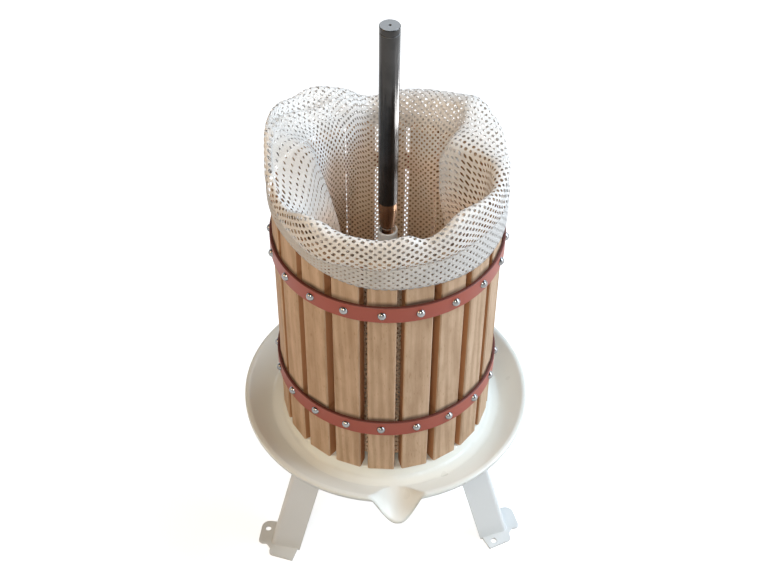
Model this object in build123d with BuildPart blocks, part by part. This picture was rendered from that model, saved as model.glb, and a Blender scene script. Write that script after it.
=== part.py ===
from build123d import *
import math
import os

# Small fruit press: a slatted basket with a mesh bag on a footed tray, round a central screw spindle.
# Millimetres. The ground under the feet is z = 0, the spindle stands on the Z axis, the spout points to -Y.

# Basket
stave_count = 20
stave_length = 300.0
stave_gap = 8.25
stave_thickness = 14.5
stave_easing = 1.2
basket_radius = 118.8
basket_turn = -7.0
hoop_width = 20.0
hoop_thickness = 3.0
hoop_easing = 0.6
lower_hoop_rise = 72.5
upper_hoop_drop = 55.2

# Dome-headed wood screws that hold the hoops
hoop_screw_radius = 2.25
hoop_screw_cover = 1.5
hoop_screw_head_radius = 4.6
hoop_screw_head_height = 3.9

# Tray
tray_sheet = 1.5
seat_height = 181.5
seat_inset = 1.5
gutter_depth = 12.5
gutter_slope = 4.0
gutter_width = 12.0
wall_run = 26.0
rim_rise = 6.0
rim_roll = 5.0
rim_drop = 5.2
tray_bend = 3.0
spout_reach = 17.0
spout_root = 66.0
spout_nose_radius = 15.0
spout_throat = 60.0
spout_valley = 76.0
spout_tip = 80.0
spout_lip_drop = 14.5
spout_lip_rise = 0.4
spout_floor_rise = 0.3
spout_floor_fall = 1.2

# Base plate under the tray's seat
base_thickness = 4.0
base_margin = 1.2
base_edge = 0.8

# Legs
leg_sheet = 2.5
leg_flange = 36.5
leg_bend = 6.0
leg_splay = 0.3127
leg_inset = 0.75
foot_reach = 13.2
foot_flare = 3.5
foot_notch = 5.0
foot_notch_root = 1.8
foot_bend = 0.5
foot_hole_radius = 3.5
foot_hole_along = 22.63
foot_hole_out = 7.78
tongue_width = 30.0
tongue_margin = 12.0

# Leg fasteners
leg_bolt_radius = 4.0
leg_bolt_head_radius = 7.5
leg_bolt_head_height = 4.0
leg_bolt_dome = 3.4
leg_bolt_margin = 3.9
leg_bolt_pitch = 20.0
leg_washer_radius = 8.0
leg_washer_thickness = 1.6
leg_nut_flats = 13.0
leg_nut_height = 6.5
thread_overhang = 2.5

# Centre post
post_radius = 10.5
post_height = 249.5
post_collar_radius = 18.0
post_collar_height = 4.0
post_cup_wall = 1.9
post_cup_depth = 8.0
post_rim_edge = 0.7
post_stud_radius = 8.0
post_washer_radius = 15.0
post_washer_thickness = 3.0
post_nut_flats = 24.0
post_nut_height = 13.0

# Spindle
spindle_radius = 10.0
spindle_bar_length = 215.0
spindle_top_edge = 0.5
taper_length = 24.5
taper_step = 1.5
neck_exposed = 6.5
tail_radius = 6.0
tail_engagement = 24.0
clip_groove_drop = 6.0
clip_groove_width = 1.6
clip_groove_depth = 0.8
centre_mark_radius = 1.6
neck_ring_width = 1.5
neck_ring_thickness = 1.5

# Press bag
bag_cloth = 1.6
bag_base_rise = 7.0
bag_hole_margin = 3.0
bag_standing = 52.0
bag_overhang = 14.0
bag_roll_gap = 5.2
bag_roll_width = 8.0
bag_lean_bend = 10.0
bag_fold_bend = 3.0

# Clearances
fit = 0.05
bolt_clearance = 0.3
running = 0.3
seat_gap = 0.3
bag_clearance = 0.8

# Levels and radii that follow from the sizes above
stave_half_angle = math.pi / stave_count - math.asin(stave_gap / 2 / basket_radius)
stave_width = 2 * basket_radius * math.sin(stave_half_angle)
stave_face = basket_radius * math.cos(stave_half_angle)
stave_back = stave_face - stave_thickness
basket_bottom = seat_height + seat_gap
basket_top = basket_bottom + stave_length
hoop_inner = basket_radius + fit
hoop_outer = hoop_inner + hoop_thickness
hoop_screw_length = stave_thickness - hoop_screw_cover
hoop_levels = {
    "lower_hoop": basket_bottom + lower_hoop_rise,
    "upper_hoop": basket_top - upper_hoop_drop,
}
seat_radius = stave_face - seat_inset
gutter_floor = seat_height - gutter_depth
gutter_inner = seat_radius + gutter_slope
gutter_outer = gutter_inner + gutter_width
rim_top = seat_height + rim_rise
crease_radius = gutter_outer + wall_run
tray_radius = crease_radius + rim_roll
base_top = seat_height - tray_sheet
base_bottom = base_top - base_thickness
base_radius = seat_radius - tray_sheet - base_margin
tongue_bottom = base_bottom - leg_sheet
leg_corner_top = base_radius - leg_inset
foot_radius = leg_corner_top + leg_splay * base_bottom
leg_bolt_outer = stave_back - leg_bolt_margin - leg_bolt_head_radius
leg_bolt_inner = leg_bolt_outer - leg_bolt_pitch
tongue_reach = leg_bolt_inner - tongue_margin
post_top = seat_height + post_height
post_cup_radius = post_radius - post_cup_wall
taper_foot = post_top + neck_exposed
bar_foot = taper_foot + taper_length
spindle_top = bar_foot + spindle_bar_length
tail_foot = post_top - post_cup_depth - tail_engagement
taper_foot_radius = tail_radius + taper_step
neck_ring_bore = tail_radius + running
neck_ring_radius = neck_ring_bore + neck_ring_width
bag_outer = stave_back - bag_clearance
bag_hole_radius = post_radius + bag_hole_margin
bag_roll_radius = basket_radius + bag_roll_gap
bag_base_bottom = seat_height + bag_base_rise
bag_fold = basket_top + bag_standing

leg_bolt_circles = [leg_bolt_inner, leg_bolt_outer]

# Directions in plan: an azimuth is counted from the spout, positive towards +X
leg_azimuths = {"leg_left": -60.0, "leg_right": 60.0, "leg_rear": 180.0}
spout_heading = -90.0


def ring_sketch(outer, inner, low):
    """A flat ring round the Z axis at a level."""
    with BuildSketch(Plane.XY.offset(low)) as ring:
        Circle(outer)
        Circle(inner, mode=Mode.SUBTRACT)
    return ring.sketch


def finish(builder, name):
    """Label a finished piece and write it."""
    builder.part.label = name
    export_step(builder.part, f"parts/{name}.step")


os.makedirs("parts", exist_ok=True)


# Staves: flat boards with eased edges and a pilot hole for each hoop's screw
pilot_radius = hoop_screw_radius + fit
stave_angles = [spout_heading + basket_turn + 360.0 / stave_count * i for i in range(stave_count)]
for number, angle in enumerate(stave_angles, start=1):
    outward = Vector(1, 0, 0).rotate(Axis.Z, angle)
    stave_foot = Plane(Vector(0, 0, basket_bottom), x_dir=outward, z_dir=(0, 0, 1))
    with BuildPart() as stave:
        with BuildSketch(stave_foot):
            with Locations((stave_back, 0)):
                Rectangle(stave_thickness, stave_width, align=(Align.MIN, Align.CENTER))
            chamfer(vertices(), length=stave_easing)
        extrude(amount=stave_length)
        for level in hoop_levels.values():
            screw_mouth = Plane(outward * stave_face + Vector(0, 0, level), z_dir=outward)
            with BuildSketch(screw_mouth):
                Circle(pilot_radius)
            extrude(amount=-hoop_screw_length, mode=Mode.SUBTRACT)
    finish(stave, f"stave_{number:02d}")

# Hoops: flat steel bands drilled for one screw at each stave
for name, level in hoop_levels.items():
    with BuildPart() as hoop:
        extrude(ring_sketch(hoop_outer, hoop_inner, level - hoop_width / 2), amount=hoop_width)
        chamfer(hoop.edges().filter_by(GeomType.CIRCLE).sort_by(SortBy.RADIUS)[-2:], length=hoop_easing)
        for angle in stave_angles:
            outward = Vector(1, 0, 0).rotate(Axis.Z, angle)
            with BuildSketch(Plane(Vector(0, 0, level), z_dir=outward)):
                Circle(hoop_screw_radius + bolt_clearance)
            extrude(amount=hoop_outer + hoop_thickness, mode=Mode.SUBTRACT)
    finish(hoop, name)

# Hoop screws: a low dome on a plain shank, all the screws of one hoop together
screw_tip = stave_face - hoop_screw_length + running
dome_top = hoop_outer + hoop_screw_head_height
for name, level in hoop_levels.items():
    with BuildPart() as screws:
        for angle in stave_angles:
            outward = Vector(1, 0, 0).rotate(Axis.Z, angle)
            section = Plane((0, 0, level), x_dir=(0, 0, 1), z_dir=Vector(0, 0, 1).cross(outward))
            with BuildSketch(section):
                with BuildLine():
                    Polyline(
                        (0, dome_top),
                        (0, screw_tip),
                        (hoop_screw_radius, screw_tip),
                        (hoop_screw_radius, hoop_outer),
                        (hoop_screw_head_radius, hoop_outer),
                    )
                    TangentArc((0, dome_top), (hoop_screw_head_radius, hoop_outer), tangent=(1, 0))
                make_face()
            revolve(axis=Axis((0, 0, level), outward))
    finish(screws, f"{name}_screws")

# Tray: one pressed sheet with a raised seat, a gutter round it, a sloping wall and a turned-down rim
wall_line = [
    (0, seat_height),
    (seat_radius, seat_height),
    (gutter_inner, gutter_floor),
    (gutter_outer, gutter_floor),
    (crease_radius, rim_top),
]
wall_bends = [tray_bend, tray_bend, tray_bend]
rim_line = [(tray_radius, rim_top), (tray_radius, rim_top - rim_drop)]
rim_bends = [tray_sheet, tray_sheet]

# Spout: a trough that opens from the gutter through the wall and rim and runs out to a round nose
rim_middle = rim_top - tray_sheet / 2
middle_line = [(radius, level - tray_sheet / 2) for radius, level in wall_line]
spout_end = tray_radius + spout_reach
mouth_line = crease_radius + rim_roll / 2
trough_start = (gutter_inner + gutter_outer) / 2
trough_floor = gutter_floor + spout_floor_rise
trough_sections = [
    (trough_start, spout_throat / 2, gutter_floor + tray_sheet, trough_floor),
    (mouth_line, spout_valley / 2, rim_top + spout_lip_rise, trough_floor - spout_floor_fall / 2),
    (spout_end, spout_tip / 2, rim_top - spout_lip_drop, trough_floor - spout_floor_fall),
]


def trough_sketch(section, skin, brim, top):
    """Section across the spout: a soft valley with a flat brim at each side, a skin below its hollow."""
    distance, half, lip, floor = section
    edge = half + brim
    middle = (lip + floor) / 2
    with BuildSketch(Plane.XZ.offset(distance)) as valley:
        with BuildLine():
            Spline(
                (-half, lip - skin),
                (-half / 2, middle - skin),
                (0, floor - skin),
                (half / 2, middle - skin),
                (half, lip - skin),
                tangents=[(1, 0), (1, 0)],
            )
            Polyline(
                (half, lip - skin),
                (edge, lip - skin),
                (edge, lip + top),
                (-edge, lip + top),
                (-edge, lip - skin),
                (-half, lip - skin),
            )
        make_face()
    return valley.sketch


with BuildPart() as tray:
    # Underside of the spout, cut to its outline in plan
    loft([trough_sketch(section, tray_sheet, spout_nose_radius, 0) for section in trough_sections])
    with BuildSketch(Plane.XY):
        with Locations((0, spout_nose_radius - spout_end)):
            Circle(spout_nose_radius)
        with Locations((0, rim_roll - mouth_line)):
            Rectangle(spout_root, wall_run + gutter_width, align=(Align.CENTER, Align.MIN))
        make_hull()
    extrude(amount=spindle_top, mode=Mode.INTERSECT)
    # Space above the middle of the dish's sheet
    with BuildSketch(Plane.XZ):
        with BuildLine():
            FilletPolyline(*middle_line, radius=wall_bends)
            Polyline(middle_line[-1], (spout_end, rim_middle), (spout_end, post_top), (0, post_top), middle_line[0])
        make_face()
    revolve(axis=Axis.Z, mode=Mode.SUBTRACT)
    # Sheet of the dish
    with BuildSketch(Plane.XZ):
        with BuildLine():
            FilletPolyline(*wall_line, *rim_line, radius=wall_bends + rim_bends)
            offset(amount=tray_sheet, side=Side.RIGHT)
        make_face()
    revolve(axis=Axis.Z)
    # Hollow of the spout
    loft([trough_sketch(section, 0, tray_sheet, post_height) for section in trough_sections], mode=Mode.SUBTRACT)
    # Holes for the post's stud and the leg bolts
    with BuildSketch(Plane.XY.offset(base_top)):
        Circle(post_stud_radius + bolt_clearance)
        for radius in leg_bolt_circles:
            with PolarLocations(radius, len(leg_azimuths), start_angle=-spout_heading):
                Circle(leg_bolt_radius + bolt_clearance)
    extrude(amount=tray_sheet, mode=Mode.SUBTRACT)
finish(tray, "tray")

# Base plate: a stiff disc under the seat
with BuildPart() as base_plate:
    with BuildSketch(Plane.XY.offset(base_bottom)):
        Circle(base_radius)
        Circle(post_stud_radius + bolt_clearance, mode=Mode.SUBTRACT)
        for radius in leg_bolt_circles:
            with PolarLocations(radius, len(leg_azimuths), start_angle=-spout_heading):
                Circle(leg_bolt_radius + bolt_clearance, mode=Mode.SUBTRACT)
    extrude(amount=base_thickness)
    chamfer(base_plate.edges().group_by(SortBy.LENGTH)[-1], length=base_edge)
finish(base_plate, "base_plate")

# Legs: pressed angles, corner outwards, with both flanges turned out flat on the ground as foot tabs
leg_rake = math.hypot(1, leg_splay)
rounded_tab = {"leg_left": -1, "leg_right": 1, "leg_rear": -1}
drilled_tab = -1


def along_flange(corner, along, out, side):
    """Point at a distance along a flange from the leg's corner and out from the flange's face."""
    diagonal = math.sqrt(0.5)
    return (corner + diagonal * (out - along), side * diagonal * (out + along))


def is_bend_line(edge):
    """Whether an edge, in the leg's own frame, runs along the foot of a flange."""
    middle = edge.position_at(0.5)
    out = middle.X + abs(middle.Y) - foot_radius
    return edge.length > leg_sheet and -leg_bend < out < leg_sheet / 2


def tab_sketch(plane, side, is_rounded):
    """Outline of one foot tab, drawn from the flange's free edge round to the notch at the corner."""
    tab_end = leg_flange - leg_sheet
    far_corner = (leg_flange - foot_flare, foot_reach + foot_flare)
    near_corner = (0, foot_reach + foot_flare / 2)
    bends = [foot_reach - foot_flare, foot_notch]
    if not is_rounded:
        far_corner = (leg_flange - foot_notch, foot_reach + foot_flare)
        near_corner = (foot_notch / 4, foot_reach)
        bends = [leg_sheet / 2, foot_notch]
    outline = [(tab_end, 0), far_corner, near_corner, (foot_notch / 4, foot_notch)]
    in_the_corner = [(-foot_notch_root, foot_notch_root), (leg_sheet, -leg_sheet)]
    in_the_flange = [(leg_bend, -leg_sheet / 2), (tab_end, -leg_sheet / 2)]
    closing = [outline[-1], *in_the_corner, *in_the_flange, outline[0]]
    with BuildSketch(plane) as tab:
        with BuildLine():
            FilletPolyline(*[along_flange(foot_radius, *point, side) for point in outline], radius=bends)
            Polyline(*[along_flange(foot_radius, *point, side) for point in closing])
        make_face()
    return tab.sketch


for name, azimuth in leg_azimuths.items():
    outward = Vector(1, 0, 0).rotate(Axis.Z, spout_heading + azimuth)
    ground = Plane((0, 0, 0), x_dir=outward, z_dir=(0, 0, 1))
    upward = Vector(0, 0, 1) - outward * leg_splay
    with BuildPart() as leg:
        with BuildSketch(ground):
            with BuildLine():
                FilletPolyline(
                    along_flange(foot_radius, leg_flange, 0, -1),
                    (foot_radius, 0),
                    along_flange(foot_radius, leg_flange, 0, 1),
                    radius=leg_bend,
                )
                offset(amount=leg_sheet, side=Side.LEFT)
            make_face()
        extrude(amount=base_bottom * leg_rake, dir=upward)
        for side in (-1, 1):
            extrude(tab_sketch(ground, side, rounded_tab[name] == side), amount=leg_sheet)
        tab_edges = leg.edges().filter_by_position(Axis.Z, leg_sheet - fit, leg_sheet + fit)
        bend_lines = tab_edges.filter_by(lambda edge: is_bend_line(ground.to_local_coords(edge)))
        fillet(bend_lines, radius=foot_bend)
        with BuildSketch(ground.offset(tongue_bottom)):
            with BuildLine():
                Polyline(
                    along_flange(leg_corner_top, leg_bend, -leg_sheet / 2, -1),
                    along_flange(leg_corner_top, leg_flange, -leg_sheet / 2, -1),
                    (tongue_reach, -tongue_width / 2),
                    (tongue_reach, tongue_width / 2),
                    along_flange(leg_corner_top, leg_flange, -leg_sheet / 2, 1),
                    along_flange(leg_corner_top, leg_bend, -leg_sheet / 2, 1),
                    close=True,
                )
            make_face()
        extrude(amount=leg_sheet)
        with BuildSketch(ground.offset(tongue_bottom)):
            with Locations(*[(radius, 0) for radius in leg_bolt_circles]):
                Circle(leg_bolt_radius + bolt_clearance)
        extrude(amount=leg_sheet, mode=Mode.SUBTRACT)
        with BuildSketch(ground):
            with Locations(along_flange(foot_radius, foot_hole_along, foot_hole_out, drilled_tab)):
                Circle(foot_hole_radius)
        extrude(amount=leg_sheet, mode=Mode.SUBTRACT)
    finish(leg, name)

# Leg fasteners: low round heads on the seat, washers and nuts under the tongues
washer_bottom = tongue_bottom - leg_washer_thickness
nut_bottom = washer_bottom - leg_nut_height
bolt_foot = nut_bottom - thread_overhang
with BuildPart() as leg_bolts:
    for radius in leg_bolt_circles:
        with BuildSketch(Plane.XY.offset(bolt_foot)):
            with PolarLocations(radius, len(leg_azimuths), start_angle=-spout_heading):
                Circle(leg_bolt_radius)
        extrude(amount=seat_height - bolt_foot)
        with BuildSketch(Plane.XY.offset(seat_height)):
            with PolarLocations(radius, len(leg_azimuths), start_angle=-spout_heading):
                Circle(leg_bolt_head_radius)
        extrude(amount=leg_bolt_head_height)
    fillet(leg_bolts.edges().group_by(Axis.Z)[-1], radius=leg_bolt_dome)
finish(leg_bolts, "leg_bolts")

with BuildPart() as leg_washers:
    for radius in leg_bolt_circles:
        with BuildSketch(Plane.XY.offset(washer_bottom)):
            with PolarLocations(radius, len(leg_azimuths), start_angle=-spout_heading):
                Circle(leg_washer_radius)
                Circle(leg_bolt_radius + bolt_clearance, mode=Mode.SUBTRACT)
        extrude(amount=leg_washer_thickness)
finish(leg_washers, "leg_washers")

with BuildPart() as leg_nuts:
    for radius in leg_bolt_circles:
        with BuildSketch(Plane.XY.offset(nut_bottom)):
            with PolarLocations(radius, len(leg_azimuths), start_angle=-spout_heading):
                RegularPolygon(leg_nut_flats / 2, side_count=6, major_radius=False)
                Circle(leg_bolt_radius + fit, mode=Mode.SUBTRACT)
        extrude(amount=leg_nut_height)
finish(leg_nuts, "leg_nuts")

# Centre post: a turned post with a collar on the seat, a stud below it and an open cup at its top
post_washer_bottom = base_bottom - post_washer_thickness
post_nut_bottom = post_washer_bottom - post_nut_height
stud_foot = post_nut_bottom - thread_overhang
collar_top = seat_height + post_collar_height
cup_floor = post_top - post_cup_depth
bore_radius = tail_radius + running
bore_floor = tail_foot - tail_radius
with BuildPart() as centre_post:
    with BuildSketch(Plane.XZ):
        with BuildLine():
            Polyline(
                (0, stud_foot),
                (post_stud_radius, stud_foot),
                (post_stud_radius, seat_height),
                (post_collar_radius, seat_height),
                (post_collar_radius, collar_top),
                (post_radius, collar_top),
                (post_radius, post_top),
                (post_cup_radius, post_top),
                (post_cup_radius, cup_floor),
                (bore_radius, cup_floor),
                (bore_radius, bore_floor),
                (0, bore_floor),
                close=True,
            )
        make_face()
    revolve(axis=Axis.Z)
    chamfer(centre_post.edges().group_by(Axis.Z)[-1].sort_by(SortBy.RADIUS)[-1], length=post_rim_edge)
finish(centre_post, "centre_post")

with BuildPart() as post_washer:
    extrude(
        ring_sketch(post_washer_radius, post_stud_radius + bolt_clearance, post_washer_bottom),
        amount=post_washer_thickness,
    )
finish(post_washer, "post_washer")

with BuildPart() as post_nut:
    with BuildSketch(Plane.XY.offset(post_nut_bottom)):
        RegularPolygon(post_nut_flats / 2, side_count=6, major_radius=False)
        Circle(post_stud_radius + fit, mode=Mode.SUBTRACT)
    extrude(amount=post_nut_height)
finish(post_nut, "post_nut")

# Spindle: a polished bar with a clip groove near its top, a tapered foot and a plain tail in the post
groove_low = spindle_top - clip_groove_drop - clip_groove_width
groove_high = spindle_top - clip_groove_drop
with BuildPart() as spindle:
    with BuildSketch(Plane.XZ):
        with BuildLine():
            Polyline(
                (0, tail_foot),
                (tail_radius, tail_foot),
                (tail_radius, taper_foot),
                (taper_foot_radius, taper_foot),
                (spindle_radius, bar_foot),
                (spindle_radius, groove_low),
                (spindle_radius - clip_groove_depth, groove_low),
                (spindle_radius - clip_groove_depth, groove_high),
                (spindle_radius, groove_high),
                (spindle_radius, spindle_top - spindle_top_edge),
                (spindle_radius - spindle_top_edge, spindle_top),
                (centre_mark_radius, spindle_top),
                (0, spindle_top - centre_mark_radius),
                close=True,
            )
        make_face()
    revolve(axis=Axis.Z)
finish(spindle, "spindle")

# Neck ring: a loose ring carried at the foot of the taper
neck_ring_bottom = taper_foot - running - neck_ring_thickness
with BuildPart() as neck_ring:
    extrude(ring_sketch(neck_ring_radius, neck_ring_bore, neck_ring_bottom), amount=neck_ring_thickness)
finish(neck_ring, "neck_ring")

# Press bag: a base panel with a hole for the post, and a wall that stands proud and folds back over the rim
bag_wall_bottom = bag_base_bottom + bag_cloth
bag_inner = bag_outer - bag_cloth
with BuildPart() as bag_base:
    extrude(ring_sketch(bag_outer, bag_hole_radius, bag_base_bottom), amount=bag_cloth)
finish(bag_base, "bag_base")

with BuildPart() as bag_wall:
    with BuildSketch(Plane.XZ):
        with BuildLine():
            FilletPolyline(
                (bag_inner, bag_wall_bottom),
                (bag_inner, basket_top + bag_lean_bend),
                (bag_roll_radius - bag_roll_width, bag_fold),
                (bag_roll_radius, bag_fold),
                (bag_roll_radius, basket_top - bag_overhang),
                radius=[bag_lean_bend, bag_fold_bend, bag_fold_bend],
            )
            offset(amount=bag_cloth, side=Side.RIGHT)
        make_face()
    revolve(axis=Axis.Z)
finish(bag_wall, "bag_wall")
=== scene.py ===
import math

import bpy
import numpy as np
from mathutils import Matrix, Vector


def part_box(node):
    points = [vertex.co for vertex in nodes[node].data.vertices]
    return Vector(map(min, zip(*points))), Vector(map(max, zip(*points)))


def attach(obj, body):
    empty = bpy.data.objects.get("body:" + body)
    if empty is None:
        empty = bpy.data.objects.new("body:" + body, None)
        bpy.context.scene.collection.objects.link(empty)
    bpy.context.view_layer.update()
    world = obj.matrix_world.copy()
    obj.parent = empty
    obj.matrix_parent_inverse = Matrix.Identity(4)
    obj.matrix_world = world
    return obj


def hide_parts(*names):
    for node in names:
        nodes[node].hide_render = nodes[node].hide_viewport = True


# Looks of a small fruit press: painted tray and legs, beech basket, red hoops, steel spindle and a mesh bag.
# Metres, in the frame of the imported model: ground at z = 0, spindle on the Z axis, spout towards -Y.
# An azimuth is counted from the spout, positive towards +X.

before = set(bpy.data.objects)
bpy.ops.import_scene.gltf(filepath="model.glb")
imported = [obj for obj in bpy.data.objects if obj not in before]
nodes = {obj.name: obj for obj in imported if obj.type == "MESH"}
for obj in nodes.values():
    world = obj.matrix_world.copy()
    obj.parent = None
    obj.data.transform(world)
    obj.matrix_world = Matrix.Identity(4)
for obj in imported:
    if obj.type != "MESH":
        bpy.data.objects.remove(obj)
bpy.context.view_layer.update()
MM = 0.001

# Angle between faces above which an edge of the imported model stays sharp
SHARP_ANGLE = math.radians(32)

# Camera of the reference view
CAMERA_PLACE = (-0.0847, -0.9971, 1.3272)
CAMERA_HEADING = math.radians(4.8)
CAMERA_DROP = math.radians(44.52)
CAMERA_ROLL = math.radians(0.62)
CAMERA_LENS = 60.6

# Lamps that light the whole press, as place, width, power in watts and tint
LAMP_TARGET = (0, 0, 0.3)
LAMPS = {
    "key": ((1.7, -0.1, 1.7), 1.2, 30, (0.86, 1.0, 1.14)),
    "front": ((-0.3, -1.5, 1.9), 0.9, 17.5, (1.05, 0.98, 0.84)),
    "left": ((-1.7, -0.5, 1.6), 1.2, 11, (1.28, 0.86, 0.48)),
    "back": ((1.3, 1.2, 1.7), 1.2, 16, (0.84, 1.0, 1.16)),
    "low": ((1.9, -0.5, 0.8), 1.2, 13, (0.94, 1.0, 1.06)),
}

# Panel that shows only in the spindle's gloss, as the light stripe down its bar
PANEL_PLACE = (0.415, 0.05, 0.12)
PANEL_TARGET = (0, 0.05, 0.12)
PANEL_SIZE = (0.5, 0.34)
PANEL_POWER = 10

# Floor: half its width, its drop under the feet, its tones, and its glow near the press and far from it
FLOOR_HALF = 6.0
FLOOR_DROP = 0.2 * MM
FLOOR_TONES = [(0.3, (0.59, 0.59, 0.59)), (0.7, (0.61, 0.61, 0.61))]
GLOW_REACH = (0.7, 2.2)
GLOW_STRENGTH = (0.70, 0.96)

# World: rise of the view over which it darkens, how bright it looks below and above that, and its own light
CEILING_RISE = (0.30, 0.60)
CEILING_BRIGHTNESS = (1.0, 0.06)
WORLD_LIGHT = 0.10

# Paint: shaded and clear tone, and the painted shade on the hoops' upward faces
TRAY_PAINT = [(0.77, 0.78, 0.735), (0.83, 0.85, 0.815)]
# The tray's paint made darker and cooler, as a painted shade on the legs, base plate and post
LEG_SHADED_PAINT = [(0.65, 0.66, 0.66), (0.70, 0.715, 0.72)]
HOOP_PAINT = [(0.30, 0.06, 0.036), (0.38, 0.08, 0.048)]
HOOP_TOP_SHADE = (0.11, 0.03, 0.022)

# Beech: tones of its rings, and the tints of the patterns laid over them with their shares
BEECH_DEEP = (0.535, 0.37, 0.248)
BEECH_PALE = (0.62, 0.445, 0.31)
GRAIN_TINTS = [(0.32, (0.84, 0.79, 0.74)), (0.58, (1.03, 1.03, 1.02))]
FLECK_TINTS = [(0.63, (1, 1, 1)), (0.70, (0.70, 0.60, 0.50))]
WASH_TINTS = [(0.3, (0.88, 0.85, 0.81)), (0.7, (1.06, 1.06, 1.06))]
GRAIN_SHARE, FLECK_SHARE, WASH_SHARE = 0.7, 0.6, 1.0
# Painted shade and warm bounce light on the staves' narrow sides, and painted shade on their inner faces
SIDE_SHADE_BROWN = (0.47, 0.215, 0.09)
INSIDE_SHADE_BROWN = (0.42, 0.27, 0.16)

# Beech: turn in radians from one stave's grain to the next, and the painted shade on the wood just above each
# hoop
STAVE_TURN = 2.399
HOOP_SHADE_BROWN = (0.09, 0.055, 0.04)
HOOP_SHADE_FULL = 1.5 * MM
HOOP_SHADE_TOP = 6 * MM
HOOP_SHADE_DROP = 2 * MM

# Metal: colours, share of a colour that is left where it is stained, the painted reflection of the wood on
# the bar's foot, and its cut end
# The screws' plating is darkened as a painted dark reflection of their surroundings
SCREW_METAL = (0.30, 0.30, 0.30)
# The bar's near-black colour is a painted dark reflection of its surroundings
BAR_METAL = (0.055, 0.053, 0.052)
ZINC_METAL = (0.55, 0.55, 0.54)
RING_METAL = (0.72, 0.71, 0.69)
STAINED_SHARE = 0.72
FOOT_REFLECTION_BROWN = (0.34, 0.20, 0.12)
FOOT_BLUR = 1 * MM
CUT_GREY = (0.62, 0.63, 0.64)

# Bag: levels and radii of its cloth
BASKET_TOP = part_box("stave_01")[1].z
BAG_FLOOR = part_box("bag_base")[1].z
BAG_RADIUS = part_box("bag_base")[1].x - 1.4 * MM
BASE_LEVEL = BAG_FLOOR - 0.8 * MM
SEAM_LEVEL = BAG_FLOOR - 0.4 * MM
HOLE_RADIUS = 13.5 * MM
CREASE_RADIUS = 120.4 * MM
HEM_RADIUS = 121.6 * MM
HEM_PLY = 1.2 * MM

# Cloth: dull and clear tone of the mesh and of its hem, tints of the painted shade and warm bounce light
# where it lines the basket, and of its single strands
MESH_WHITE = [(0.81, 0.775, 0.74), (0.87, 0.84, 0.81)]
# The hem's tones are the mesh's tones darkened, as a painted shade on the hem
HEM_SHADED_WHITE = [(0.62, 0.595, 0.57), (0.715, 0.69, 0.665)]
TAN_BOUNCE_TINTS = [(0.35, (0.96, 0.775, 0.645)), (0.65, (0.97, 0.84, 0.73))]
BROWN_BOUNCE_TINTS = [(0.35, (0.95, 0.69, 0.49)), (0.65, (0.96, 0.76, 0.57))]
STRAND_TINTS = [(0.30, (0.84, 0.83, 0.82)), (0.60, (1, 1, 1))]
STRAND_SHARE = 0.8

# Cloth: levels where the painted shade turns from brown to tan and from tan to none, and radii where it ends
BROWN_TO_TAN = (BASKET_TOP - 130 * MM, BASKET_TOP - 15 * MM)
TAN_TO_UNSHADED = (BASKET_TOP - 22 * MM, BASKET_TOP + 2 * MM)
LINING_REACH = (108 * MM, 114 * MM)

# Cloth: how far the painted shade's edge wanders, and how far it climbs at the back left, along a direction
# scaled per metre
SHADE_WANDER = 14 * MM
SHADE_CLIMB = 30 * MM
BACK_LEFT = (-6.4, 6.4, 0)

# Bag: widths and thickness of its sewn tapes, and the gaps that the base leaves under them
HOLE_TAPE = 5 * MM
SEAM_INSIDE = 4 * MM
SEAM_OUTSIDE = 1 * MM
TAPE_HALF_PLY = 0.7 * MM
TAPE_TURNS, TAPE_SECTION = 96, 10
HOLE_GAP = 2 * MM
SEAM_GAP = 1 * MM

# Bag: height of the fold round the rim, as azimuth in degrees and level in millimetres
FOLD_LEVELS = [
    (-173, 519),
    (-160, 531),
    (-148, 544),
    (-132, 549),
    (-116, 555),
    (-100, 563),
    (-91, 556),
    (-83, 537),
    (-73, 517),
    (-62, 514),
    (-50, 525),
    (-40, 525),
    (-30, 520),
    (-12, 519),
    (5, 520),
    (12, 517),
    (19, 524),
    (27, 532),
    (40, 534),
    (56, 528),
    (86, 529),
    (102, 539),
    (120, 545),
    (134, 542),
    (148, 533),
]

# Bag: inner radius of the fold and outer radius of the roll below it, in millimetres
FOLD_INNERS = [
    (-175, 104),
    (-145, 97),
    (-122, 102),
    (-105, 112),
    (-75, 115),
    (-40, 114),
    (0, 113),
    (40, 113),
    (70, 108),
    (95, 100),
    (140, 97),
]
ROLL_OUTERS = [
    (-175, 121),
    (-140, 121),
    (-90, 121),
    (-60, 124),
    (-42, 129),
    (-20, 126),
    (0, 125),
    (30, 124.5),
    (60, 121),
    (85, 118.5),
    (130, 119),
]

# Bag: how far the rim sags between the wall and its crest, in millimetres
RIM_TROUGHS = [(-175, 0), (-158, 5), (-140, 11), (-115, 11), (-98, 5), (-86, 0), (0, 0), (90, 0)]

# Bag: height of the crease between the roll and its hem, and of the hem's lower edge, in millimetres
CREASE_LEVELS = [
    (-150, 494),
    (-90, 503),
    (-60, 499),
    (-40, 485),
    (-20, 485),
    (0, 488),
    (30, 492),
    (60, 494),
    (120, 492),
]
HEM_LEVELS = [
    (-150, 478),
    (-90, 487),
    (-60, 481),
    (-40, 469),
    (-20, 464),
    (0, 462),
    (30, 460),
    (60, 460),
    (120, 464),
]

# Bag: small waves round the rim, as size in millimetres, count round the rim and phase in radians
FOLD_WAVES = [(1.4, 9, 1.3), (1.0, 15, 0.4)]
ROLL_WAVES = [(1.0, 13, 2.0)]
CREASE_WAVES = [(1.0, 11, 0.0)]
HEM_WAVES = [(0.8, 7, 0.0)]

# Bag: where the wall starts to lean towards the rim below the basket's top, and where it ends below the fold
LEAN_DEPTH = 25 * MM
RIM_DEPTH = 10 * MM
WALL_STEPS = 20

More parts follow.
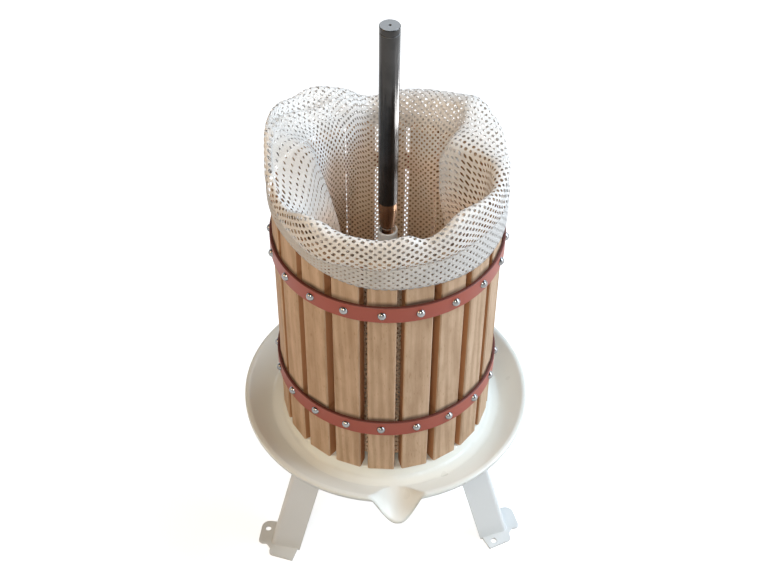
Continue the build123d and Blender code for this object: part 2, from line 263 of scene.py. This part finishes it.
# Bag: points over the rim, as share of its width, drop in millimetres and share of its sag
RIM_POINTS = [(0.12, 2.5, 0.5), (0.5, 0, 1.0), (0.88, 2.5, -0.1)]

# Bag: outside of the roll, from its edge below the fold to where it is drawn in at the crease
EDGE_DROP = 7 * MM
ROLL_DROP = 6 * MM
ROLL_TUCK = 0.6 * MM
CREASE_OUT = 1.2 * MM
CREASE_RISE = 1.0 * MM
HEM_START = 3 * MM
HEM_END = 1.5 * MM

# Bag: depth of the two largest folds of the wall at each level, in millimetres
LEFT_DEPTHS = [
    (200, 0),
    (300, 18),
    (370, 42),
    (420, 53),
    (450, 47),
    (480, 40),
    (510, 36),
    (540, 30),
    (563, 24),
]
RIGHT_DEPTHS = [(200, 0), (320, 10), (400, 34), (470, 45), (520, 43), (545, 22)]

# Bag: large folds of the wall, as azimuth and half width in degrees, run-out in millimetres, and depths
WALL_FOLDS = [
    (-94, 27, 22, LEFT_DEPTHS),
    (101, 15, 0, RIGHT_DEPTHS),
    (-143, 24, 0, [(200, 0), (350, 8), (430, 19), (490, 22), (520, 12), (535, 5)]),
    (150, 17, 0, [(200, 0), (380, 5), (450, 11), (505, 9), (530, 2)]),
    (-20, 30, 0, [(200, 0), (330, 9), (420, 17), (480, 8), (505, 2)]),
    (42, 20, 0, [(200, 0), (350, 10), (440, 15), (490, 5), (505, 1)]),
]

# Bag: how far below the rim a fold that runs out ends, in millimetres
RUN_OUT_START = 8

# Bag: wrinkles of the wall, as size in millimetres, inset in sizes, and height over which they fade in
RIPPLE_SIZE = 1.3
RIPPLE_INSET = 1.6
RIPPLE_FADE = 60 * MM

# Bag: knitted mesh, size of its holes in even and odd rows as shares of a cell, and how far open in the hem
MESH_PITCH = 7.1 * MM
HOLE_SHARES = (0.45, 0.38)
HEM_SHARE = 0.8

# Bag: holes drawn together on the left fold and stretched on the roll, between shares of the wall's length
LEFT_FOLD = -80
LEFT_FOLD_WIDTH = 26
FOLD_CLOSING = 0.4
CLOSING_START = (0.45, 0.6)
CLOSING_END = (0.9, 0.85)
ROLL_STRETCH = 0.08
STRETCH_START = (0.86, 0.92)

# Spindle: foot of its bar, and the screw thread on its tail
BAR_FOOT = 469.6 * MM
THREAD_PITCH = 3 * MM
THREAD_CORE = 5.9 * MM
THREAD_CREST = 6.26 * MM
THREAD_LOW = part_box("spindle")[0].z + 1 * MM
THREAD_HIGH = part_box("centre_post")[1].z - 9 * MM
THREAD_SECTION = [(-0.95, 0.0), (-0.5, 1.0), (0.5, 1.0), (0.95, 0.0)]
THREAD_STEPS = 40
THREAD_RUN_IN = 12


def fill(tree, socket, value):
    """Link a socket to another, or set it to a number, a vector or a colour."""
    if isinstance(value, bpy.types.NodeSocket):
        tree.links.new(value, socket)
    elif socket.type == "RGBA":
        socket.default_value = (*value, 1.0)
    else:
        socket.default_value = value


def fill_inputs(tree, made, **inputs):
    """Fill a node's inputs by name."""
    for name, value in inputs.items():
        fill(tree, made.inputs[name.replace("_", " ")], value)


def shader_node(tree, kind, *values, settings=None, **inputs):
    """Add a shader node, set its properties and fill its inputs in order or by name."""
    made = tree.nodes.new("ShaderNode" + kind)
    for name, value in (settings or {}).items():
        setattr(made, name, value)
    for socket, value in zip(made.inputs, values):
        fill(tree, socket, value)
    fill_inputs(tree, made, **inputs)
    return made


def math_node(tree, operation, *values):
    """Result of a math node on numbers or sockets."""
    return shader_node(tree, "Math", *values, settings={"operation": operation}).outputs[0]


def vector_node(tree, operation, *vectors):
    """Outputs of a vector math node: its vector, then its number."""
    return shader_node(tree, "VectorMath", *vectors, settings={"operation": operation}).outputs


def ramp_node(tree, factor, stops):
    """Colour between two (place, colour) stops."""
    made = shader_node(tree, "ValToRGB", factor)
    for element, (place, colour) in zip(made.color_ramp.elements, stops):
        element.position = place
        element.color = (*colour, 1.0)
    return made.outputs[0]


def range_node(tree, value, low, high, to_low, to_high):
    """Value mapped from one range to another, held at the ends."""
    return shader_node(tree, "MapRange", value, low, high, to_low, to_high).outputs[0]


def mix_node(tree, factor, first, second, blend="MIX"):
    """Mix of two colours or sockets."""
    made = shader_node(tree, "Mix", settings={"data_type": "RGBA", "blend_type": blend})
    for index, value in ((0, factor), (6, first), (7, second)):
        fill(tree, made.inputs[index], value)
    return made.outputs[2]


def new_material(name, **surface):
    """A node material; returns it with its tree and its Principled node, constants set on the sockets."""
    material = bpy.data.materials.new(name)
    material.use_nodes = True
    tree = material.node_tree
    principled = tree.nodes["Principled BSDF"]
    fill_inputs(tree, principled, **surface)
    return material, tree, principled


def noise(tree, place, scale, detail=4.0, roughness=0.55, stretch=(1, 1, 1)):
    """Noise of a scale per metre at a place, stretched along the axes."""
    if stretch != (1, 1, 1):
        place = shader_node(tree, "Mapping", Vector=place, Scale=stretch).outputs[0]
    made = shader_node(tree, "TexNoise", Vector=place, Scale=scale, Detail=detail, Roughness=roughness)
    return made.outputs["Fac"]


def bump(tree, height, distance, strength):
    """Normal of a surface with a bump from a height, in metres."""
    return shader_node(tree, "Bump", Strength=strength, Distance=distance, Height=height).outputs[0]


def object_place(tree):
    """Coordinates in the piece's own frame."""
    return shader_node(tree, "TexCoord").outputs["Object"]


def surface_normal(tree):
    """Direction that the surface faces, in the piece's own frame."""
    return shader_node(tree, "TexCoord").outputs["Normal"]


def upward_part(tree, vector):
    """How far a place or a direction goes up."""
    return shader_node(tree, "SeparateXYZ", vector).outputs["Z"]


def flattened(tree, place):
    """Place with its height taken out."""
    return vector_node(tree, "MULTIPLY", place, (1, 1, 0))[0]


def seen_directly(tree):
    """One for rays of the camera, of gloss and through glass, nothing for those of plain light."""
    path = shader_node(tree, "LightPath").outputs
    seen = math_node(tree, "MAXIMUM", path["Is Camera Ray"], path["Is Glossy Ray"])
    return math_node(tree, "MAXIMUM", seen, path["Is Transmission Ray"])


def enamel(name, tones, roughness, softness, top_shade=None, **surface):
    """Sprayed enamel: faint clouding, a clear gloss, edges softened by the paint, and painted shade on what
    faces up when given.
    """
    material, tree, principled = new_material(name, **surface)
    place = object_place(tree)
    paint = ramp_node(tree, noise(tree, place, 9, detail=1), list(zip((0.0, 1.0), tones)))
    # Painted shade: what faces up is darkened towards the given colour
    if top_shade:
        upward = upward_part(tree, surface_normal(tree))
        paint = mix_node(tree, range_node(tree, upward, 0.2, 0.8, 0.0, 1.0), paint, top_shade)
    gloss = range_node(tree, noise(tree, place, 25, detail=1), 0.0, 1.0, roughness - 0.06, roughness + 0.06)
    soft = shader_node(tree, "Bevel", settings={"samples": 8}, Radius=softness).outputs[0]
    fill_inputs(tree, principled, Base_Color=paint, Roughness=gloss, Normal=soft)
    return material


def beech(number):
    """Beech of one stave: growth rings round an axis of its own, long grain and flecks, painted shade above
    each hoop, painted shade and warm bounce light on its narrow sides, and painted shade on its inner face.
    """
    material, tree, principled = new_material(f"beech_{number:02d}", Specular_IOR_Level=0.2)
    place = object_place(tree)
    turn = number * STAVE_TURN
    shift = (0.4 * math.sin(turn), 0.4 * math.cos(turn), 0.37 * number)
    moved = shader_node(tree, "Mapping", Vector=place, Location=shift, Rotation=(0.02, 0.03, turn)).outputs[0]
    grain = noise(tree, moved, 260, detail=6, roughness=0.65, stretch=(1, 1, 0.035))
    fleck = noise(tree, moved, 820, detail=2, stretch=(1, 1, 0.16))
    broad = noise(tree, moved, 90, detail=3, stretch=(1, 1, 0.35))
    tone = 1.0 + 0.07 * math.sin(5.1 * turn)
    deep, pale = (tuple(tone * c for c in colour) for colour in (BEECH_DEEP, BEECH_PALE))
    wood = ramp_node(tree, growth_rings(tree, moved, turn), [(0.15, deep), (0.75, pale)])
    wood = mix_node(tree, GRAIN_SHARE, wood, ramp_node(tree, grain, GRAIN_TINTS), "MULTIPLY")
    wood = mix_node(tree, FLECK_SHARE, wood, ramp_node(tree, fleck, FLECK_TINTS), "MULTIPLY")
    wood = mix_node(tree, WASH_SHARE, wood, ramp_node(tree, broad, WASH_TINTS), "MULTIPLY")
    # Painted shade on the wood just above each hoop
    wood = mix_node(tree, hoop_shade(tree, place), wood, HOOP_SHADE_BROWN)
    # Painted shade and warm bounce light on the narrow sides, painted shade on the inner face
    side_shade, inner = stave_shade_masks(tree, place)
    wood = mix_node(tree, side_shade, wood, SIDE_SHADE_BROWN)
    wood = mix_node(tree, inner, wood, INSIDE_SHADE_BROWN)
    gloss = range_node(tree, grain, 0.3, 0.7, 0.72, 0.58)
    height = math_node(tree, "SUBTRACT", grain, math_node(tree, "MULTIPLY", fleck, 0.35))
    relief = bump(tree, height, 0.18 * MM, 0.6)
    fill_inputs(tree, principled, Base_Color=wood, Roughness=gloss, Normal=relief)
    return material


def growth_rings(tree, moved, turn):
    """Growth rings drawn out along the stave, a little wider or closer from stave to stave."""
    return shader_node(
        tree,
        "TexWave",
        settings={"wave_type": "RINGS", "rings_direction": "Z"},
        Vector=shader_node(tree, "Mapping", Vector=moved, Scale=(1, 1, 0.07)).outputs[0],
        Scale=34 + 5 * math.sin(3 * turn),
        Distortion=5.0,
        Detail=3.0,
        Detail_Scale=1.2,
    ).outputs["Fac"]


def hoop_shade(tree, place):
    """Mask of the painted shade on the wood just above each hoop, in patches."""
    level = upward_part(tree, place)
    patches = range_node(tree, noise(tree, place, 22, detail=2), 0.35, 0.6, 0.5, 0.95)
    bands = []
    for hoop in ("upper_hoop", "lower_hoop"):
        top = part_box(hoop)[1].z
        above = range_node(tree, level, top + HOOP_SHADE_FULL, top + HOOP_SHADE_TOP, 1.0, 0.0)
        below = range_node(tree, level, top - HOOP_SHADE_DROP, top, 0.0, 1.0)
        bands.append(math_node(tree, "MULTIPLY", above, below))
    return math_node(tree, "MULTIPLY", math_node(tree, "ADD", *bands), patches)


def stave_shade_masks(tree, place):
    """Masks of the painted shade and warm bounce light on a stave's narrow sides and of the painted shade on
    its inner face, both nothing on the outer face and the ends.
    """
    normal = surface_normal(tree)
    outward = vector_node(tree, "NORMALIZE", flattened(tree, place))[0]
    facing = vector_node(tree, "DOT_PRODUCT", outward, normal)[1]
    level = range_node(tree, math_node(tree, "ABSOLUTE", upward_part(tree, normal)), 0.5, 0.7, 1.0, 0.0)
    across = range_node(tree, math_node(tree, "ABSOLUTE", facing), 0.3, 0.6, 0.8, 0.0)
    inward = range_node(tree, facing, -0.8, -0.5, 0.9, 0.0)
    return math_node(tree, "MULTIPLY", across, level), inward


def metal(name, colour, roughness, grain_scale, grain_stretch=(1, 1, 1), reflection_below=0.0, cut_share=0.0):
    """Metal with fine working marks and faint stains, a painted brown reflection of the wood below a level,
    and dull where cut across.
    """
    material, tree, principled = new_material(name, Metallic=1.0)
    place = object_place(tree)
    marks = noise(tree, place, grain_scale, stretch=grain_stretch)
    stain = noise(tree, place, 45)
    stained_and_shaded = tuple(STAINED_SHARE * c for c in colour)
    tone = ramp_node(tree, stain, [(0.35, stained_and_shaded), (0.6, colour)])
    level = upward_part(tree, place)
    # Painted reflection of the wood, brown below a level
    wood_reflection = range_node(tree, level, reflection_below - FOOT_BLUR, reflection_below + FOOT_BLUR, 1.0, 0.0)
    tone = mix_node(tree, wood_reflection, tone, FOOT_REFLECTION_BROWN)
    cut = range_node(tree, upward_part(tree, surface_normal(tree)), 0.7, 0.95, 0.0, cut_share)
    tone = mix_node(tree, cut, tone, CUT_GREY)
    both = math_node(tree, "MULTIPLY", math_node(tree, "ADD", marks, stain), 0.5)
    gloss = range_node(tree, both, 0.35, 0.65, roughness, roughness + 0.08)
    gloss = math_node(tree, "ADD", gloss, math_node(tree, "MULTIPLY", cut, 0.4))
    relief = bump(tree, marks, 0.02 * MM, 0.4)
    fill_inputs(tree, principled, Base_Color=tone, Roughness=gloss, Normal=relief)
    return material


def mesh_cloth(name, tones):
    """White knitted yarn between two tones, a little see-through, with painted shade and warm bounce light in
    tan and brown where it lines the basket.
    """
    material, tree, principled = new_material(
        name, Sheen_Weight=0.2, Sheen_Roughness=0.5, Alpha=0.92, Specular_IOR_Level=0.2
    )
    place = object_place(tree)
    yarn = noise(tree, place, 1500, detail=3)
    soil_and_shade = noise(tree, place, 28)
    # Painted shade and warm bounce light: brown low in the basket, tan higher up
    level = shade_level(tree, place, soil_and_shade)
    deep = range_node(tree, level, *BROWN_TO_TAN, 1.0, 0.0)
    stained_and_shaded = mix_node(tree, deep, ramp_node(tree, soil_and_shade, TAN_BOUNCE_TINTS), ramp_node(tree, soil_and_shade, BROWN_BOUNCE_TINTS))
    below = range_node(tree, level, *TAN_TO_UNSHADED, 1.0, 0.0)
    lining_shade = math_node(tree, "MULTIPLY", below, inside_basket(tree, place))
    unshaded = ramp_node(tree, soil_and_shade, list(zip((0.32, 0.62), tones)))
    cloth = mix_node(tree, lining_shade, unshaded, stained_and_shaded)
    cloth = mix_node(tree, STRAND_SHARE, cloth, ramp_node(tree, yarn, STRAND_TINTS), "MULTIPLY")
    gloss = range_node(tree, yarn, 0.3, 0.7, 0.85, 0.6)
    relief = bump(tree, yarn, 0.3 * MM, 0.7)
    fill_inputs(tree, principled, Base_Color=cloth, Roughness=gloss, Normal=relief)
    return material


def shade_level(tree, place, soil_and_shade):
    """Height that the cloth's painted shade goes by: uneven, and less at the back left, where the painted
    shade climbs.
    """
    level = math_node(tree, "ADD", upward_part(tree, place), math_node(tree, "MULTIPLY", soil_and_shade, SHADE_WANDER))
    back_left = vector_node(tree, "DOT_PRODUCT", place, BACK_LEFT)[1]
    return math_node(tree, "SUBTRACT", level, range_node(tree, back_left, 0.2, 1.0, 0.0, SHADE_CLIMB))


def inside_basket(tree, place):
    """One where the cloth hangs inside the staves, nothing where it hangs outside."""
    reach = vector_node(tree, "LENGTH", flattened(tree, place))[1]
    return range_node(tree, reach, *LINING_REACH, 1.0, 0.0)


def paint_nodes(names, material):
    """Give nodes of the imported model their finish, smooth over their curved faces."""
    for name in names:
        mesh = nodes[name].data
        mesh.materials.clear()
        mesh.materials.append(material)
        mesh.shade_smooth()
        mesh.set_sharp_from_angle(angle=SHARP_ANGLE)


def smooth_step(low, high, value):
    """Smooth rise from nothing to one."""
    share = np.clip((value - low) / (high - low), 0.0, 1.0)
    return share * share * (3 - 2 * share)


def smooth_between(before, start, end, after, share):
    """Catmull-Rom value at a share of the way from start to end, bent by what comes before and after."""
    bend = 2 * before - 5 * start + 4 * end - after
    curl = -before + 3 * start - 3 * end + after
    return start + 0.5 * share * (end - before + share * (bend + share * curl))


def smooth_line(points, samples=600):
    """Smooth line through points, sampled evenly along its length; returns the points and its length."""
    padded = np.vstack([2 * points[0] - points[1], points, 2 * points[-1] - points[-2]])
    along = np.linspace(0, len(points) - 1, samples)
    index = np.minimum(along.astype(int), len(points) - 2)
    share = (along - index)[:, None]
    line = smooth_between(*(padded[index + step] for step in range(4)), share)
    lengths = np.concatenate([[0], np.cumsum(np.linalg.norm(np.diff(line, axis=0), axis=1))])
    even = np.linspace(0, lengths[-1], samples)
    return np.column_stack([np.interp(even, lengths, line[:, axis]) for axis in (0, 1)]), lengths[-1]


def round_table(table, azimuth):
    """Smooth value round the rim from (degrees, value) pairs."""
    degrees, values = np.array(table, float).T
    degrees = np.concatenate([degrees - 360, degrees, degrees + 360])
    values = np.tile(values, 3)
    spot = (np.degrees(azimuth) + 180) % 360 - 180
    index = np.searchsorted(degrees, spot) - 1
    share = (spot - degrees[index]) / (degrees[index + 1] - degrees[index])
    return smooth_between(*(values[index + step] for step in (-1, 0, 1, 2)), share)


def waves(table, azimuth):
    """Sum of small waves at an azimuth, in millimetres."""
    return sum(size * math.sin(count * azimuth + phase) for size, count, phase in table)


def wall_inset(azimuth, levels, fold):
    """How far the bag's wall hangs in from the basket, from its large folds and small wrinkles."""
    inset = np.zeros(levels.shape)
    for degrees, half_width, run_out, depths in WALL_FOLDS:
        off = (np.degrees(azimuth) - degrees + 180) % 360 - 180
        heights, sizes = np.array(depths).T * MM
        below = 1.0
        if run_out:
            below = smooth_step(RUN_OUT_START * MM, (RUN_OUT_START + run_out) * MM, fold - levels)
        inset = inset + below * np.interp(levels, heights, sizes) * np.exp(-((off / half_width) ** 2))
    fade = smooth_step(BAG_FLOOR, BAG_FLOOR + RIPPLE_FADE, levels)
    ripple = np.sin(11 * azimuth + 26 * levels) + 0.6 * np.sin(17 * azimuth - 41 * levels + 1.0)
    return inset + fade * RIPPLE_SIZE * MM * (RIPPLE_INSET + ripple)


def bag_profile(azimuth):
    """Section of the bag at an azimuth: evenly spaced (radius, level) points and length of wall and hem.

    The wall runs from the base over the fold to the crease, the hem from the crease down and back up inside.
    """
    fold = round_table(FOLD_LEVELS, azimuth) * MM
    fold += waves(FOLD_WAVES, azimuth) * MM
    inner = round_table(FOLD_INNERS, azimuth) * MM
    outer = (round_table(ROLL_OUTERS, azimuth) + waves(ROLL_WAVES, azimuth)) * MM
    hem = (round_table(HEM_LEVELS, azimuth) + waves(HEM_WAVES, azimuth)) * MM
    crease = (round_table(CREASE_LEVELS, azimuth) + waves(CREASE_WAVES, azimuth)) * MM
    trough = max(0.0, round_table(RIM_TROUGHS, azimuth)) * MM
    levels = np.linspace(BAG_FLOOR, fold - RIM_DEPTH, WALL_STEPS)
    lean = (inner - BAG_RADIUS) * smooth_step(BASKET_TOP - LEAN_DEPTH, fold - RIM_DEPTH, levels)
    wall = list(zip(BAG_RADIUS + lean - wall_inset(azimuth, levels, fold), levels))
    top = wall[-1][0]
    edge = 0.5 * (outer + CREASE_RADIUS)
    rise = fold - ROLL_DROP - crease
    for share, drop, sag in RIM_POINTS:
        wall.append((top + share * (edge - top), fold - drop * MM - sag * trough))
    wall += [
        (edge, fold - EDGE_DROP),
        (outer, crease + 0.5 * rise),
        (outer - ROLL_TUCK, crease + 0.22 * rise),
        (CREASE_RADIUS + CREASE_OUT, crease + CREASE_RISE),
        (CREASE_RADIUS, crease),
    ]
    turned = [
        (CREASE_RADIUS, crease),
        (HEM_RADIUS, crease - HEM_START),
        (HEM_RADIUS, hem + HEM_PLY),
        (HEM_RADIUS - 0.5 * HEM_PLY, hem),
        (HEM_RADIUS - HEM_PLY, hem + HEM_PLY),
        (HEM_RADIUS - HEM_PLY, crease - HEM_END),
    ]
    return smooth_line(np.array(wall)), smooth_line(np.array(turned))


def place_round(azimuth, radius, level):
    """Point at an azimuth, radius and level."""
    return (radius * math.sin(azimuth), -radius * math.cos(azimuth), level)


def build_mesh(name, points, faces, material):
    """A mesh piece from points and faces."""
    mesh = bpy.data.meshes.new(name)
    mesh.from_pydata(points, [], faces)
    mesh.materials.append(material)
    mesh.shade_smooth()
    piece = bpy.data.objects.new(name, mesh)
    bpy.context.scene.collection.objects.link(piece)
    return piece


def mesh_lattice(columns, rows, spot, is_round, opening):
    """Points and faces of a knitted mesh: staggered diamonds with rows of large and small eight-sided holes.

    spot(column, row) gives a place on the cloth, opening(column, row) how far its hole is open.
    """
    points, faces, known = [], [], {}

    def point(column, row):
        key = (round(column % columns if is_round else column, 4), round(row, 4))
        if key not in known:
            known[key] = len(points)
            points.append(spot(*key))
        return known[key]

    corners = [(1, 0), (0, 1), (-1, 0), (0, -1)]
    turns = [(math.cos(math.pi / 4 * i), math.sin(math.pi / 4 * i)) for i in range(8)]
    for row in range(1, rows):
        for column in range(row % 2, columns, 2):
            share = HOLE_SHARES[row % 2] * opening(column, row)
            outer = [point(column + a, row + b) for a, b in corners]
            inner = [point(column + share * a, row + share * b) for a, b in turns]
            for i in range(4):
                j = (i + 1) % 4
                faces.append((outer[i], outer[j], inner[2 * j], inner[2 * i + 1], inner[2 * i]))
    return points, faces


def make_bag_wall(material, hem_shaded_material):
    """The bag's wall, one knitted sheet from the base over the fold to its turned hem."""
    columns = 2 * round(2 * math.pi * BAG_RADIUS / MESH_PITCH)
    wall_rows, hem_rows = (2 * round(length / MESH_PITCH) for _, length in bag_profile(0.0))
    profiles = {}

    def spot(column, row):
        azimuth = 2 * math.pi * column / columns
        if column not in profiles:
            profiles[column] = [line for line, _ in bag_profile(azimuth)]
        line = profiles[column][0 if row < wall_rows else 1]
        share = row / wall_rows if row < wall_rows else (row - wall_rows) / hem_rows
        along = share * (len(line) - 1)
        index = min(int(along), len(line) - 2)
        radius, level = line[index] + (along - index) * (line[index + 1] - line[index])
        return place_round(azimuth, radius, level)

    def opening(column, row):
        if row >= wall_rows:
            return HEM_SHARE
        share = row / wall_rows
        off = (360 * column / columns - LEFT_FOLD + 180) % 360 - 180
        upper = smooth_step(*CLOSING_START, share) * smooth_step(*CLOSING_END, share)
        roll = smooth_step(*STRETCH_START, share)
        return 1 - FOLD_CLOSING * upper * math.exp(-((off / LEFT_FOLD_WIDTH) ** 2)) + ROLL_STRETCH * roll

    points, faces = mesh_lattice(columns, wall_rows + hem_rows, spot, True, opening)
    piece = build_mesh("bag_wall_mesh", points, faces, material)
    piece.data.materials.append(hem_shaded_material)
    first_hem_face = 2 * columns * (wall_rows - 1)
    is_hem = np.arange(len(faces)) >= first_hem_face
    piece.data.polygons.foreach_set("material_index", is_hem.astype(np.int32))
    return piece


def make_bag_base(material):
    """The bag's base, a knitted disc between a hemmed hole and the seam with the wall."""
    step = MESH_PITCH / 2
    half = math.ceil(BAG_RADIUS / step)

    def spot(column, row):
        return ((column - half) * step, (row - half) * step, BASE_LEVEL)

    points, faces = mesh_lattice(2 * half + 1, 2 * half, spot, False, lambda column, row: 1.0)
    places = np.array(points)
    radii = np.hypot(places[:, 0], places[:, 1])
    is_kept = (radii > HOLE_RADIUS + HOLE_GAP) & (radii < BAG_RADIUS - SEAM_GAP)
    kept = [face for face in faces if all(is_kept[i] for i in face)]
    used = sorted({i for face in kept for i in face})
    order = {old: new for new, old in enumerate(used)}
    kept = [[order[i] for i in face] for face in kept]
    return build_mesh("bag_base_mesh", [points[i] for i in used], kept, material)


def make_tape(name, inner, outer, level, material):
    """A flat sewn tape round the axis, with rounded edges."""
    middle, half = 0.5 * (inner + outer), 0.5 * (outer - inner)
    points, faces = [], []
    for i in range(TAPE_TURNS):
        azimuth = 2 * math.pi * i / TAPE_TURNS
        for j in range(TAPE_SECTION):
            angle = 2 * math.pi * j / TAPE_SECTION
            radius = middle + half * math.cos(angle)
            points.append(place_round(azimuth, radius, level + TAPE_HALF_PLY * math.sin(angle)))
    for i in range(TAPE_TURNS):
        for j in range(TAPE_SECTION):
            k, m = (i + 1) % TAPE_TURNS, (j + 1) % TAPE_SECTION
            ring, after = i * TAPE_SECTION, k * TAPE_SECTION
            faces.append((ring + j, after + j, after + m, ring + m))
    return build_mesh(name, points, faces, material)


def make_thread(material):
    """Trapezoidal thread on the spindle's tail, a closed helical ridge."""
    count = int((THREAD_HIGH - THREAD_LOW - THREAD_PITCH) / THREAD_PITCH * THREAD_STEPS)
    points, faces = [], []
    for i in range(count + 1):
        azimuth = 2 * math.pi * i / THREAD_STEPS
        middle = THREAD_LOW + THREAD_PITCH * (0.5 + i / THREAD_STEPS)
        ends = min(1.0, i / THREAD_RUN_IN, (count - i) / THREAD_RUN_IN)
        for along, out in THREAD_SECTION:
            radius = THREAD_CORE + out * ends * (THREAD_CREST - THREAD_CORE)
            points.append(place_round(azimuth, radius, middle + along * THREAD_PITCH / 2))
    size = len(THREAD_SECTION)
    for i in range(count):
        for j in range(size):
            k = (j + 1) % size
            faces.append((i * size + j, i * size + k, (i + 1) * size + k, (i + 1) * size + j))
    faces.append(tuple(range(size)))
    faces.append(tuple(count * size + j for j in reversed(range(size))))
    return build_mesh("tail_thread", points, faces, material)


def make_floor():
    """A plain pale floor that keeps the object's shadow and stays near white for the camera."""
    material, tree, principled = new_material("pale_floor", Roughness=0.9)
    place = object_place(tree)
    fill_inputs(tree, principled, Base_Color=ramp_node(tree, noise(tree, place, 3), FLOOR_TONES))
    distance = vector_node(tree, "LENGTH", place)[1]
    paleness = range_node(tree, distance, *GLOW_REACH, *GLOW_STRENGTH)
    paleness = math_node(tree, "MULTIPLY", seen_directly(tree), paleness)
    glow = shader_node(tree, "Emission", Color=(1, 1, 1), Strength=paleness)
    both = shader_node(tree, "AddShader", principled.outputs[0], glow.outputs[0])
    fill_inputs(tree, tree.nodes["Material Output"], Surface=both.outputs[0])
    corners = [(x * FLOOR_HALF, y * FLOOR_HALF, 0) for x, y in ((-1, -1), (1, -1), (1, 1), (-1, 1))]
    floor = build_mesh("floor", corners, [(0, 1, 2, 3)], material)
    floor.location.z = -FLOOR_DROP


def make_world():
    """Pale surroundings under a dark ceiling, seen directly, in gloss and through glass, lighting little."""
    world = bpy.data.worlds.new("studio")
    world.use_nodes = True
    tree = world.node_tree
    seen = seen_directly(tree)
    upward = upward_part(tree, shader_node(tree, "TexCoord").outputs["Generated"])
    shown = math_node(tree, "MULTIPLY", seen, range_node(tree, upward, *CEILING_RISE, *CEILING_BRIGHTNESS))
    lit = math_node(tree, "ADD", shown, range_node(tree, seen, 0, 1, WORLD_LIGHT, 0.0))
    fill_inputs(tree, tree.nodes["Background"], Color=(1, 1, 1), Strength=lit)
    bpy.context.scene.world = world


def make_lamp(name, place, target, size, power, tint):
    """A soft rectangular lamp that the camera doesn't see."""
    data = bpy.data.lights.new(name, "AREA")
    data.shape = "RECTANGLE"
    data.size, data.size_y = size
    data.energy = power
    data.color = tint
    lamp = bpy.data.objects.new(name, data)
    lamp.location = place
    lamp.rotation_euler = (Vector(target) - Vector(place)).to_track_quat("-Z", "Y").to_euler()
    lamp.visible_camera = False
    bpy.context.scene.collection.objects.link(lamp)
    return lamp


def show_in_gloss(lamp, node):
    """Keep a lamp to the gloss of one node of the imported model."""
    lamp.visible_diffuse = False
    shown = bpy.data.collections.new(lamp.name + "_on")
    shown.objects.link(nodes[node])
    lamp.light_linking.receiver_collection = shown
    lamp.light_linking.blocker_collection = shown


def make_camera():
    """Camera at the reference view."""
    data = bpy.data.cameras.new("camera")
    data.lens = CAMERA_LENS
    camera = bpy.data.objects.new("camera", data)
    camera.matrix_world = (
        Matrix.Translation(CAMERA_PLACE)
        @ Matrix.Rotation(-CAMERA_HEADING, 4, "Z")
        @ Matrix.Rotation(math.pi / 2 - CAMERA_DROP, 4, "X")
        @ Matrix.Rotation(CAMERA_ROLL, 4, "Z")
    )
    bpy.context.scene.collection.objects.link(camera)
    bpy.context.scene.camera = camera


# Finishes
gloss_coat = {"Coat_Weight": 0.5, "Coat_Roughness": 0.08}
tray_enamel = enamel("tray_enamel", TRAY_PAINT, 0.30, 6 * MM, **gloss_coat)
leg_shaded_enamel = enamel("leg_shaded_enamel", LEG_SHADED_PAINT, 0.34, 1.2 * MM, **gloss_coat)
red_enamel = enamel("red_enamel", HOOP_PAINT, 0.42, 0.6 * MM, top_shade=HOOP_TOP_SHADE, Specular_IOR_Level=0.35)
chrome = metal("plated_screws", SCREW_METAL, 0.06, 900)
bar_steel = metal("spindle_bar", BAR_METAL, 0.12, 1200, (1, 1, 0.02), reflection_below=BAR_FOOT, cut_share=1.0)
zinc = metal("zinc_fasteners", ZINC_METAL, 0.30, 700)
ring_steel = metal("bright_ring", RING_METAL, 0.14, 900, (1, 1, 6))
cloth = mesh_cloth("mesh_cloth", MESH_WHITE)
hem_shaded_cloth = mesh_cloth("hem_shaded_cloth", HEM_SHADED_WHITE)

paint_nodes(["tray"], tray_enamel)
paint_nodes(["base_plate", "leg_left", "leg_right", "leg_rear", "centre_post"], leg_shaded_enamel)
paint_nodes(["upper_hoop", "lower_hoop"], red_enamel)
paint_nodes(["upper_hoop_screws", "lower_hoop_screws"], chrome)
paint_nodes(["leg_bolts", "leg_washers", "leg_nuts", "post_washer", "post_nut"], zinc)
paint_nodes(["spindle"], bar_steel)
paint_nodes(["neck_ring"], ring_steel)
staves = sorted(name for name in nodes if name.startswith("stave_"))
for number, stave in enumerate(staves, start=1):
    paint_nodes([stave], beech(number))

# Press bag
bag_wall = make_bag_wall(cloth, hem_shaded_cloth)
bag_base = make_bag_base(cloth)
hole_tape = make_tape("bag_hole_tape", HOLE_RADIUS, HOLE_RADIUS + HOLE_TAPE, BASE_LEVEL, cloth)
seam_tape = make_tape("bag_seam_tape", BAG_RADIUS - SEAM_INSIDE, BAG_RADIUS + SEAM_OUTSIDE, SEAM_LEVEL, cloth)
for piece in (bag_wall, bag_base, hole_tape, seam_tape):
    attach(piece, "bag")
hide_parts("bag_wall")
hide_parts("bag_base")
wall_flat = (2 * math.pi * BAG_RADIUS, sum(length for _, length in bag_profile(0.0)))

# Spindle thread
thread = make_thread(bar_steel)
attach(thread, "spindle")

# Surroundings and camera
make_floor()
make_world()
for name, (place, width, power, tint) in LAMPS.items():
    make_lamp(name, place, LAMP_TARGET, (width, width), power, tint)
rod_panel = make_lamp("rod_panel", PANEL_PLACE, PANEL_TARGET, PANEL_SIZE, PANEL_POWER, (1, 1, 1))
show_in_gloss(rod_panel, "spindle")
make_camera()
bpy.context.scene.view_settings.view_transform = "Standard"
